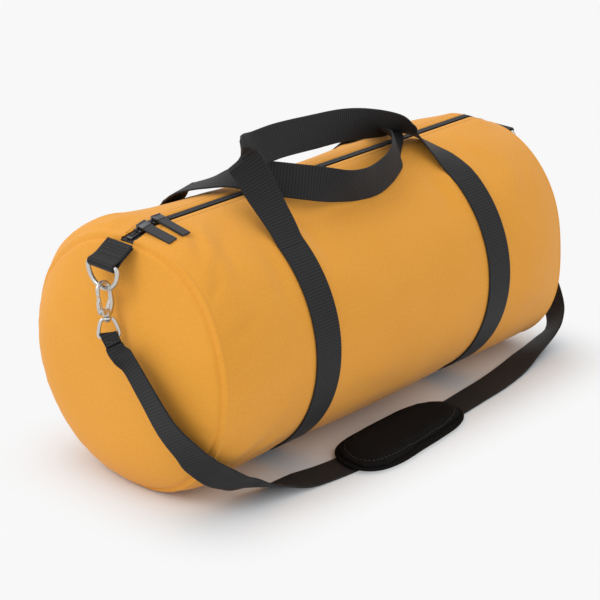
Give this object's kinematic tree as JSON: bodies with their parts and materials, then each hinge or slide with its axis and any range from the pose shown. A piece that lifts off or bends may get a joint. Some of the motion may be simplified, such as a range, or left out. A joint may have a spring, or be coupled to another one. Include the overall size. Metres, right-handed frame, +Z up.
{
  "type": "barrel duffel bag",
  "caption": "Soft barrel duffel bag with a top zip, webbing carry handles and a padded shoulder strap clipped to rings at its ends.",
  "frame": {"origin": "on the floor under the middle of the bag", "axes": "+X along the barrel to the right end, -Y to the front, where the shoulder strap lies, +Z up"},
  "size_m": [0.5565, 0.2641, 0.289],
  "materials": {
    "bag_cloth": "plain woven polyester, matt",
    "webbing": "ribbed black webbing",
    "pad_cover": "black woven cover over foam",
    "seam_binding": "black binding tape",
    "zip_tape": "black woven zip tape",
    "zip_coil": "black nylon coil",
    "zip_metal": "dark grey painted zinc",
    "nickel": "bright nickel plate"
  },
  "bodies": {
    "bag": {"barrel_panel": "bag_cloth", "end_panel_left": "bag_cloth", "end_panel_right": "bag_cloth", "seam_binding_left": "seam_binding", "seam_binding_right": "seam_binding", "zip_tape_front": "zip_tape", "zip_tape_rear": "zip_tape", "zip_chain_front": "zip_coil", "zip_chain_rear": "zip_coil", "zip_stop_left": "zip_metal", "zip_stop_right": "zip_metal", "web_left": "webbing", "web_right": "webbing", "ring_tab_left": "webbing", "ring_tab_right": "webbing", "shoulder_strap_left": "webbing", "shoulder_strap_right": "webbing"},
    "front_handle": {"handle_front": "webbing"},
    "rear_handle": {"handle_rear": "webbing"},
    "pad": {"shoulder_pad": "pad_cover"},
    "left_slider": {"slider_left": "zip_metal", "slider_bridge_left": "zip_metal"},
    "left_pull": {"pull_tab_left": "webbing"},
    "left_ring": {"d_ring_left": "nickel", "swivel_eye_left": "nickel", "strap_end_left": "webbing"},
    "left_hook": {"hook_left": "nickel", "gate_pin_left": "nickel"},
    "left_gate": {"gate_left": "nickel"},
    "right_slider": {"slider_right": "zip_metal", "slider_bridge_right": "zip_metal"},
    "right_pull": {"pull_tab_right": "webbing"},
    "right_ring": {"d_ring_right": "nickel", "swivel_eye_right": "nickel", "strap_end_right": "webbing"},
    "right_hook": {"hook_right": "nickel", "gate_pin_right": "nickel"},
    "right_gate": {"gate_right": "nickel"}
  },
  "joints": [
    {"name": "front_handle_swing", "type": "hinge", "parent": "bag", "child": "front_handle", "pos_m": [0, -0.07432, 0.20334], "axis": [1, 0, 0], "range_deg": [0, 110]},
    {"name": "rear_handle_swing", "type": "hinge", "parent": "bag", "child": "rear_handle", "pos_m": [0, 0.07432, 0.20334], "axis": [-1, 0, 0], "range_deg": [0, 44]},
    {"name": "pad_slide", "type": "slide", "parent": "bag", "child": "pad", "axis": [0.9965, 0.0837, 0], "range_m": [-0.02, 0.03]},
    {"name": "left_slider_run", "type": "slide", "parent": "bag", "child": "left_slider", "axis": [-0.9732, 0, -0.23], "range_m": [0, 0.0055]},
    {"name": "left_pull_flip", "type": "hinge", "parent": "left_slider", "child": "left_pull", "pos_m": [-0.2151, 0, 0.23063], "axis": [-0.9732, 0, -0.23], "range_deg": [0, 195]},
    {"name": "left_ring_swing", "type": "hinge", "parent": "bag", "child": "left_ring", "pos_m": [-0.2585, 0, 0.2083], "axis": [0, 1, 0], "range_deg": [0, 35]},
    {"name": "left_hook_swivel", "type": "hinge", "parent": "left_ring", "child": "left_hook", "pos_m": [-0.2585, 0, 0.1878], "axis": [-0.1422, -0.2844, -0.9481], "range_deg": [-20, 20]},
    {"name": "left_gate_open", "type": "hinge", "parent": "left_hook", "child": "left_gate", "pos_m": [-0.26647, -0.00513, 0.1707], "axis": [0, 0.9578, -0.2873], "range_deg": [0, 24], "stiffness_Nm_per_rad": 0.001},
    {"name": "right_slider_run", "type": "slide", "parent": "bag", "child": "right_slider", "axis": [1, 0, 0], "range_m": [0, 0.395]},
    {"name": "right_pull_flip", "type": "hinge", "parent": "right_slider", "child": "right_pull", "pos_m": [-0.1988, 0, 0.2328], "axis": [-1, 0, 0], "range_deg": [0, 195]},
    {"name": "right_ring_swing", "type": "hinge", "parent": "bag", "child": "right_ring", "pos_m": [0.2585, 0, 0.2028], "axis": [0, -1, 0], "range_deg": [0, 35]},
    {"name": "right_hook_swivel", "type": "hinge", "parent": "right_ring", "child": "right_hook", "pos_m": [0.2585, 0, 0.1823], "axis": [0.1422, -0.2844, -0.9481], "range_deg": [-20, 20]},
    {"name": "right_gate_open", "type": "hinge", "parent": "right_hook", "child": "right_gate", "pos_m": [0.26647, -0.00513, 0.1652], "axis": [0, -0.9578, 0.2873], "range_deg": [0, 24], "stiffness_Nm_per_rad": 0.001}
  ],
  "couplings": [
    {"joint": "rear_handle_swing", "follows": "front_handle_swing", "ratio": 0.4}
  ]
}
